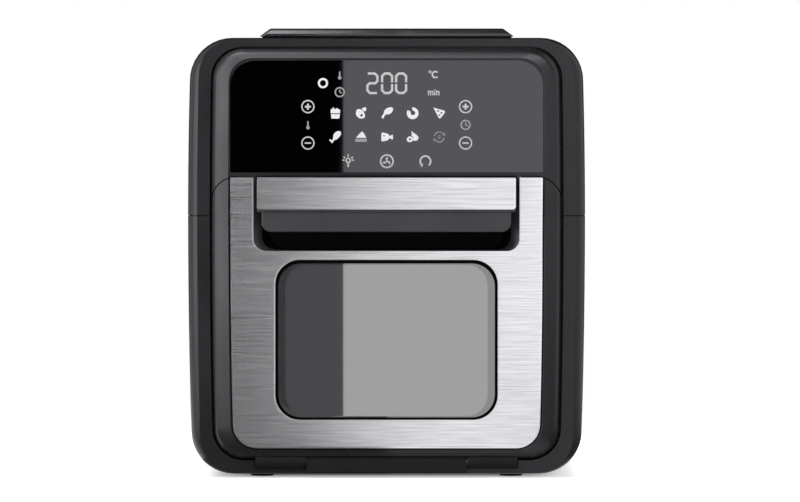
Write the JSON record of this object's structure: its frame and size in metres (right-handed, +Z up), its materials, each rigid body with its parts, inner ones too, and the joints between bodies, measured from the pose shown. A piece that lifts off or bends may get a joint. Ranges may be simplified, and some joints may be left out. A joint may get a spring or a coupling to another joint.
{
  "type": "air fryer oven",
  "caption": "Black air fryer oven with a touch panel above a brushed drop-down door with a window, recessed handle, hot-air fan, heating coil, racks and drip tray.",
  "frame": {"origin": "centre of the bounding box at the height of the table, under the rubber feet", "axes": "+Z up, -Y out of the front (door and control panel), +X to the right for someone who faces the front"},
  "size_m": [0.3306, 0.33, 0.3742],
  "materials": {
    "shell_plastic": "satin black moulded plastic",
    "front_plastic": "semi-gloss black plastic",
    "vent_plastic": "fine grained black plastic",
    "grip_plastic": "dark grey satin plastic",
    "panel_glass": "black back-printed glass",
    "window_glass": "dark tinted tempered glass",
    "clear_glass": "clear glass",
    "brushed_plate": "stainless steel brushed across",
    "liner_steel": "plain stainless sheet",
    "chamber_steel": "grey coated steel sheet",
    "zinc_steel": "galvanised sheet steel",
    "bright_wire": "bright plated wire",
    "coil_metal": "dull sheathed tube",
    "fan_metal": "stamped aluminium",
    "motor_paint": "grey lacquered laminations",
    "frame_steel": "black painted sheet",
    "screw_steel": "zinc plated",
    "rubber_black": "matt rubber",
    "silicone_grey": "grey silicone",
    "ceramic_white": "glazed ceramic",
    "fibre": "mineral fibre blanket",
    "board_green": "lacquered circuit board",
    "display_black": "black display block",
    "spring_brass": "gold plated spring wire",
    "lead_sleeve": "silicone sleeved leads",
    "switch_brown": "phenolic plastic",
    "magnet_grey": "nickel plated magnet in a plastic cup",
    "tray_enamel": "dark enamel"
  },
  "bodies": {
    "housing": {"upper_shell": "shell_plastic", "lower_shell": "shell_plastic", "rear_cover": "shell_plastic", "rear_vent_hood": "vent_plastic", "top_vent_cover": "vent_plastic", "base_plate": "frame_steel", "rubber_feet": "rubber_black", "front_frame": "frame_steel", "hinge_block": "shell_plastic", "hinge_rod": "screw_steel", "cord_inlet": "rubber_black", "housing_screws": "screw_steel", "panel_bezel": "front_plastic", "control_glass": "panel_glass", "control_board": "board_green", "display_module": "display_black", "touch_springs": "spring_brass", "inner_chamber": "chamber_steel", "chamber_brackets": "zinc_steel", "insulation": "fibre", "rack_rails": "bright_wire", "fan_dome": "zinc_steel", "exhaust_duct": "zinc_steel", "heating_element": "coil_metal", "terminal_insulators": "ceramic_white", "element_clips": "liner_steel", "element_guard": "bright_wire", "temperature_sensor": "liner_steel", "lamp_housing": "zinc_steel", "oven_lamp": "clear_glass", "lamp_cover": "clear_glass", "heat_shield": "zinc_steel", "motor_bracket": "zinc_steel", "fan_motor": "motor_paint", "power_board": "board_green", "thermal_fuse": "ceramic_white", "wiring_harness": "lead_sleeve", "rotisserie_motor": "zinc_steel", "spit_support": "bright_wire", "door_magnets": "magnet_grey", "door_switch": "switch_brown"},
    "door": {"door_frame": "front_plastic", "door_steel_plate": "brushed_plate", "handle_pocket": "grip_plastic", "handle_grip": "grip_plastic", "handle_trim": "brushed_plate", "outer_window_glass": "window_glass", "inner_window_glass": "window_glass", "inner_door_panel": "liner_steel", "door_seals": "silicone_grey", "door_screws": "screw_steel"},
    "fan_rotor": {"motor_shaft": "screw_steel", "hot_air_fan": "fan_metal", "cooling_fan": "vent_plastic", "fan_nuts": "screw_steel"},
    "spit_drive": {"drive_socket": "bright_wire"},
    "door_plunger": {"switch_plunger": "ceramic_white"},
    "tray": {"drip_tray": "tray_enamel"},
    "rack_low": {"lower_rack": "bright_wire"},
    "rack_high": {"upper_rack": "bright_wire"}
  },
  "joints": [
    {"name": "door_hinge", "type": "hinge", "parent": "housing", "child": "door", "pos_m": [0, -0.1415, 0.014], "axis": [1, 0, 0], "range_deg": [0, 85]},
    {"name": "fan_spin", "type": "hinge", "parent": "housing", "child": "fan_rotor", "pos_m": [0, 0, 0.25], "axis": [0, 0, 1], "continuous": true},
    {"name": "spit_turn", "type": "hinge", "parent": "housing", "child": "spit_drive", "pos_m": [0.118, 0, 0.118], "axis": [1, 0, 0], "continuous": true},
    {"name": "switch_travel", "type": "slide", "parent": "housing", "child": "door_plunger", "axis": [0, -1, 0], "range_m": [0, 0.003]},
    {"name": "tray_slide", "type": "slide", "parent": "housing", "child": "tray", "axis": [0, -1, 0], "range_m": [0, 0.045]},
    {"name": "lower_rack_slide", "type": "slide", "parent": "housing", "child": "rack_low", "axis": [0, -1, 0], "range_m": [0, 0.075]},
    {"name": "upper_rack_slide", "type": "slide", "parent": "housing", "child": "rack_high", "axis": [0, -1, 0], "range_m": [0, 0.095]}
  ],
  "couplings": [
    {"joint": "switch_travel", "follows": "door_hinge", "m_per_rad": 0.002},
    {"joint": "tray_slide", "follows": "door_hinge", "m_per_rad": 0.03},
    {"joint": "lower_rack_slide", "follows": "door_hinge", "m_per_rad": 0.05},
    {"joint": "upper_rack_slide", "follows": "door_hinge", "m_per_rad": 0.064}
  ]
}
